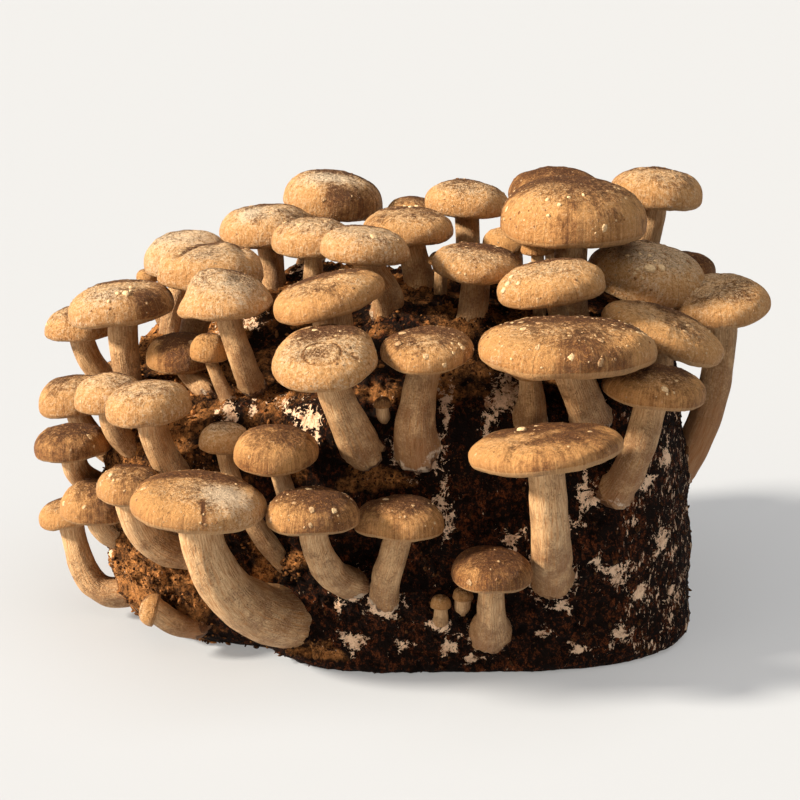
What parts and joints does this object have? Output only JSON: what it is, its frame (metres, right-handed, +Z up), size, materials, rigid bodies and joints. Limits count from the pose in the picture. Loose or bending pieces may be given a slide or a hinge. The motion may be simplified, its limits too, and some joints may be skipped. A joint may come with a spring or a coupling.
{
  "type": "shiitake fruiting block",
  "caption": "Sawdust substrate block that rests on its flat base, with brown-capped shiitake mushrooms growing out of its top and sides on pale stems.",
  "frame": {"origin": "on the block's flat underside, near its middle", "axes": "+Z up; +X along the block's long side, to the right of someone who faces its front; +Y from its front to its back"},
  "size_m": [0.3623, 0.3083, 0.22],
  "materials": {
    "substrate": "dark damp compacted sawdust, rough and crumbly",
    "mushroom_flesh": "matt brown scaly cap on a pale fibrous stem"
  },
  "bodies": {
    "root": {"substrate_block": "substrate", "mushroom_01": "mushroom_flesh", "mushroom_02": "mushroom_flesh", "mushroom_03": "mushroom_flesh", "mushroom_04": "mushroom_flesh", "mushroom_05": "mushroom_flesh", "mushroom_06": "mushroom_flesh", "mushroom_07": "mushroom_flesh", "mushroom_08": "mushroom_flesh", "mushroom_09": "mushroom_flesh", "mushroom_10": "mushroom_flesh", "mushroom_11": "mushroom_flesh", "mushroom_12": "mushroom_flesh", "mushroom_13": "mushroom_flesh", "mushroom_14": "mushroom_flesh", "mushroom_15": "mushroom_flesh", "mushroom_16": "mushroom_flesh", "mushroom_17": "mushroom_flesh", "mushroom_18": "mushroom_flesh", "mushroom_19": "mushroom_flesh", "mushroom_20": "mushroom_flesh", "mushroom_21": "mushroom_flesh", "mushroom_22": "mushroom_flesh", "mushroom_23": "mushroom_flesh", "mushroom_24": "mushroom_flesh", "mushroom_25": "mushroom_flesh", "mushroom_26": "mushroom_flesh", "mushroom_27": "mushroom_flesh", "mushroom_28": "mushroom_flesh", "mushroom_29": "mushroom_flesh", "mushroom_30": "mushroom_flesh", "mushroom_31": "mushroom_flesh", "mushroom_32": "mushroom_flesh", "mushroom_33": "mushroom_flesh", "mushroom_34": "mushroom_flesh", "mushroom_35": "mushroom_flesh", "mushroom_36": "mushroom_flesh", "mushroom_37": "mushroom_flesh", "mushroom_38": "mushroom_flesh", "mushroom_39": "mushroom_flesh", "mushroom_40": "mushroom_flesh", "mushroom_41": "mushroom_flesh", "mushroom_42": "mushroom_flesh", "mushroom_43": "mushroom_flesh", "mushroom_44": "mushroom_flesh", "mushroom_45": "mushroom_flesh", "mushroom_46": "mushroom_flesh", "mushroom_47": "mushroom_flesh", "mushroom_48": "mushroom_flesh", "bud_1": "mushroom_flesh", "bud_2": "mushroom_flesh", "bud_3": "mushroom_flesh", "mushroom_back_1": "mushroom_flesh", "mushroom_back_2": "mushroom_flesh", "mushroom_back_3": "mushroom_flesh", "mushroom_back_4": "mushroom_flesh", "mushroom_back_5": "mushroom_flesh", "mushroom_back_6": "mushroom_flesh", "mushroom_back_7": "mushroom_flesh", "mushroom_back_8": "mushroom_flesh"}
  },
  "joints": []
}
